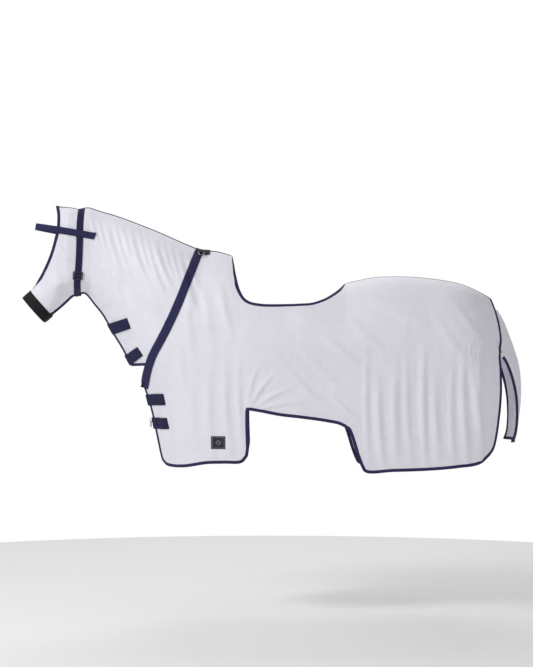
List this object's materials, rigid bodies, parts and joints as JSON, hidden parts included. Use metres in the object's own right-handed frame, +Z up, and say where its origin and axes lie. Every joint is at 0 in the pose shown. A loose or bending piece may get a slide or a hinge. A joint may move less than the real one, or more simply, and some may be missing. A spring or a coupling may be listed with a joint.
{
  "type": "horse riding fly sheet",
  "caption": "White mesh fly sheet for riding with joined neck and head cover, saddle opening, front and brow touch-tape straps, nose band and lifting tail flap.",
  "frame": {"origin": "top of the withers, on the inner face of the cloth at the centre line", "axes": "+X towards the tail, +Y towards the horse's off (right) side, +Z up"},
  "size_m": [2.2364, 0.6054, 1.1856],
  "materials": {
    "white_mesh": "open knitted polyester mesh, matt with a faint sheen",
    "navy_tape": "woven polyester tape, matt",
    "navy_webbing": "ribbed polypropylene webbing, satin",
    "black_webbing": "woven elastic, webbing and hook tape, matt",
    "red_thread": "dense stitching, satin",
    "steel": "dull nickel-plated wire",
    "dark_plastic": "moulded acetal, satin"
  },
  "bodies": {
    "sheet": {"brow_strap": "navy_tape", "brow_strap_loop_tape": "navy_webbing", "chest_keeper": "black_webbing", "chest_tab_lower_base": "navy_webbing", "chest_tab_lower_loop_tape": "navy_webbing", "chest_tab_upper_base": "navy_webbing", "chest_tab_upper_loop_tape": "navy_webbing", "crest_tape": "navy_tape", "face_binding": "navy_tape", "label_patch": "black_webbing", "near_bar_tack": "red_thread", "near_edge_binding": "navy_tape", "near_flank_elastic": "white_mesh", "near_front_body_panel": "white_mesh", "near_head_panel": "white_mesh", "near_jaw_binding": "navy_tape", "near_neck_front_binding": "navy_tape", "near_neck_panel": "white_mesh", "near_neckline_band": "navy_tape", "near_rear_body_panel": "white_mesh", "neck_tab_lower_base": "navy_webbing", "neck_tab_lower_loop_tape": "navy_webbing", "neck_tab_upper_base": "navy_webbing", "neck_tab_upper_loop_tape": "navy_webbing", "nose_band": "black_webbing", "off_bar_tack": "red_thread", "off_edge_binding": "navy_tape", "off_flank_elastic": "white_mesh", "off_front_body_panel": "white_mesh", "off_head_panel": "white_mesh", "off_jaw_binding": "navy_tape", "off_neck_front_binding": "navy_tape", "off_neck_panel": "white_mesh", "off_neckline_band": "navy_tape", "off_rear_body_panel": "white_mesh", "poll_tape": "navy_tape", "saddle_opening_binding": "navy_tape", "spine_tape": "navy_tape", "tail_flap_upper": "white_mesh", "throat_strap": "navy_webbing", "throat_strap_lower": "navy_webbing", "wither_keeper": "black_webbing", "wither_strap": "black_webbing", "wither_tape": "navy_tape"},
    "tail_flap": {"tail_flap_lower": "white_mesh", "tail_flap_binding": "navy_tape"},
    "neck_tab_upper": {"neck_tab_upper_leaf": "navy_webbing", "neck_tab_upper_hook_tape": "black_webbing"},
    "neck_tab_lower": {"neck_tab_lower_leaf": "navy_webbing", "neck_tab_lower_hook_tape": "black_webbing"},
    "chest_tab_upper": {"chest_tab_upper_leaf": "navy_webbing", "chest_tab_upper_hook_tape": "black_webbing"},
    "chest_tab_lower": {"chest_tab_lower_leaf": "navy_webbing", "chest_tab_lower_hook_tape": "black_webbing"},
    "brow_strap_end": {"brow_strap_end": "navy_tape", "brow_strap_hook_tape": "black_webbing"},
    "throat_slider": {"throat_slider": "dark_plastic"},
    "nose_band_tab": {"nose_band_tab": "black_webbing"},
    "wither_ring": {"wither_ring": "steel"},
    "chest_ring": {"chest_ring": "steel"}
  },
  "joints": [
    {"name": "tail_flap_lift", "type": "hinge", "parent": "sheet", "child": "tail_flap", "pos_m": [1.40102, 0, -0.449], "axis": [0, -1, 0], "range_deg": [0, 110]},
    {"name": "neck_tab_upper_peel", "type": "hinge", "parent": "sheet", "child": "neck_tab_upper", "pos_m": [-0.41949, -0.01604, -0.3509], "axis": [0.5013, 0.003, -0.8653], "range_deg": [0, 115]},
    {"name": "neck_tab_lower_peel", "type": "hinge", "parent": "sheet", "child": "neck_tab_lower", "pos_m": [-0.3406, -0.01707, -0.48975], "axis": [0.4545, -0.0348, -0.89], "range_deg": [0, 115]},
    {"name": "chest_tab_upper_peel", "type": "hinge", "parent": "sheet", "child": "chest_tab_upper", "pos_m": [-0.25105, -0.01595, -0.66626], "axis": [0.2967, -0.006, -0.9549], "range_deg": [0, 115]},
    {"name": "chest_tab_lower_peel", "type": "hinge", "parent": "sheet", "child": "chest_tab_lower", "pos_m": [-0.22501, -0.01587, -0.76872], "axis": [0.212, 0.0009, -0.9773], "range_deg": [0, 115]},
    {"name": "brow_strap_end_peel", "type": "hinge", "parent": "sheet", "child": "brow_strap_end", "pos_m": [-0.56374, -0.09682, 0.08231], "axis": [-0.1604, -0.1915, -0.9683], "range_deg": [0, 120]},
    {"name": "nose_band_tab_peel", "type": "hinge", "parent": "sheet", "child": "nose_band_tab", "pos_m": [-0.69369, 0.02527, -0.30119], "axis": [0.7502, 0, 0.6612], "range_deg": [0, 120]},
    {"name": "throat_slider_slide", "type": "slide", "parent": "sheet", "child": "throat_slider", "axis": [0.06, 0.0109, 0.9981], "range_m": [0, 0.06]},
    {"name": "wither_ring_swing", "type": "hinge", "parent": "sheet", "child": "wither_ring", "pos_m": [-0.00618, -0.05289, -0.00438], "axis": [-0.9891, -0.0612, 0.1341], "range_deg": [0, 120]},
    {"name": "chest_ring_swing", "type": "hinge", "parent": "sheet", "child": "chest_ring", "pos_m": [-0.23389, 0, -0.76193], "axis": [0, 1, 0], "range_deg": [-8, 120]}
  ]
}
